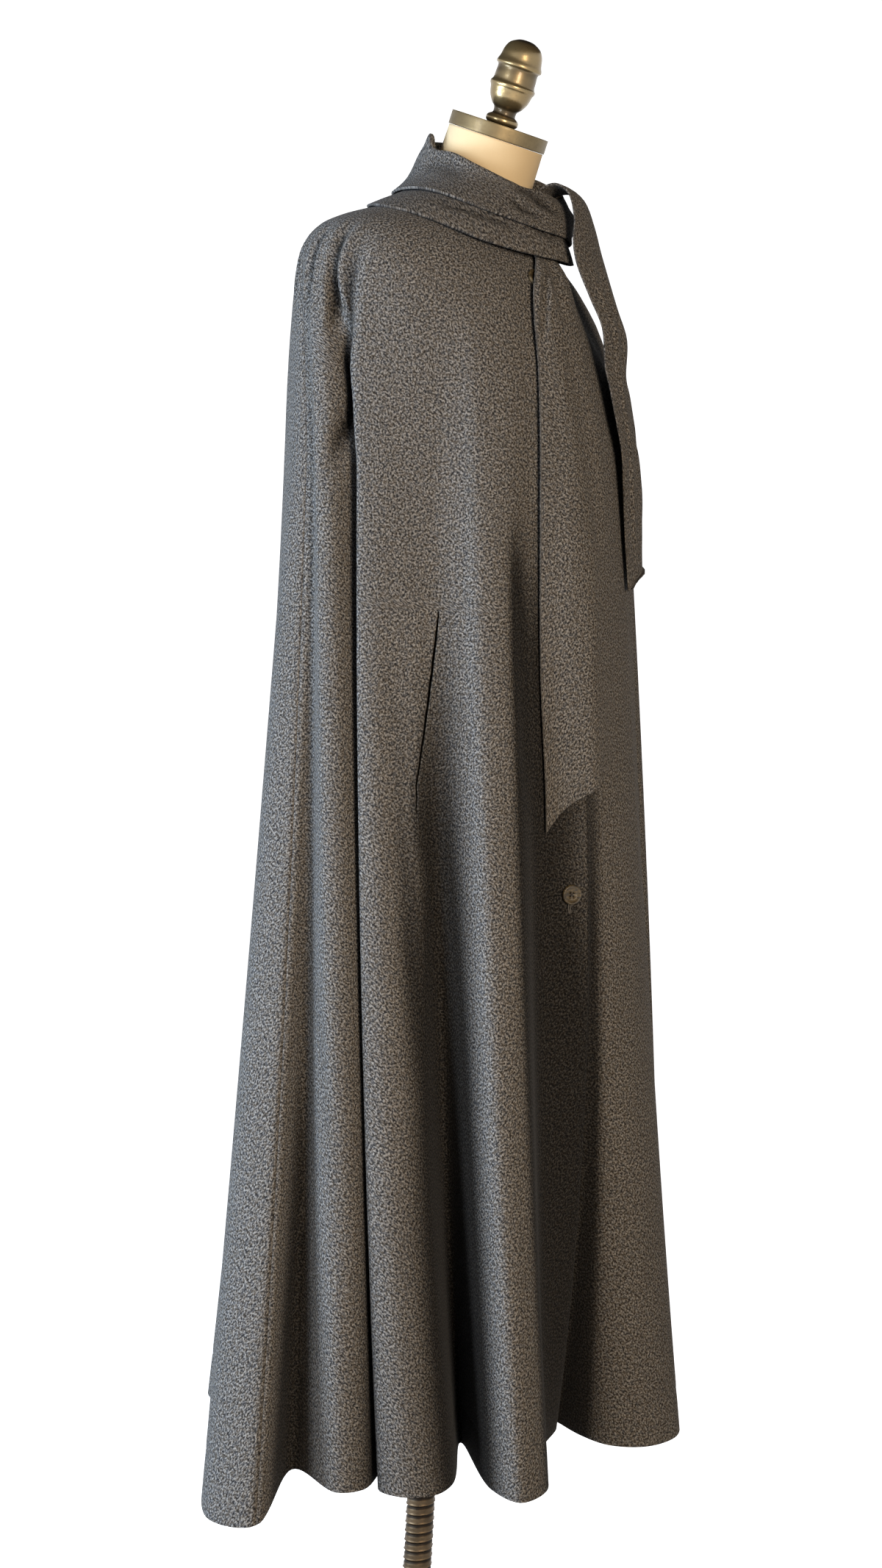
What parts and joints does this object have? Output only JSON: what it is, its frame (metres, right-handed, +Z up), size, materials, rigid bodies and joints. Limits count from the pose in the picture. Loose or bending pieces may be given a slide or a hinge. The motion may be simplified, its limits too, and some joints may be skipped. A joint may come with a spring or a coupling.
{
  "type": "wool cape coat on a limbless dress form",
  "caption": "Long wool cape coat with a scarf-like tie collar, hand slits and a buttoned front, worn by a limbless dress form on a threaded stem and a round base.",
  "frame": {"origin": "centre of the base's flat underside, on the floor", "axes": "+Z up the stem. The wearer faces -Y, so the wearer's right side is at -X."},
  "size_m": [0.686, 0.5025, 1.7258],
  "materials": {
    "charcoal_wool": "matt salt-and-pepper wool",
    "cream_linen": "matt woven cover",
    "aged_bronze": "aged satin metal",
    "dark_iron": "dark satin metal",
    "brown_horn": "polished brown"
  },
  "bodies": {
    "root": {"cape_back": "charcoal_wool", "cape_front_right": "charcoal_wool", "cape_front_left": "charcoal_wool", "collar_band_under": "charcoal_wool", "collar_band_over": "charcoal_wool", "tie_end_front": "charcoal_wool", "tie_end_side": "charcoal_wool", "button_1": "brown_horn", "button_2": "brown_horn", "button_3": "brown_horn", "button_4": "brown_horn", "form_torso": "cream_linen", "neck_cap": "aged_bronze", "finial": "aged_bronze", "stem": "aged_bronze", "base_plate": "dark_iron"}
  },
  "joints": []
}
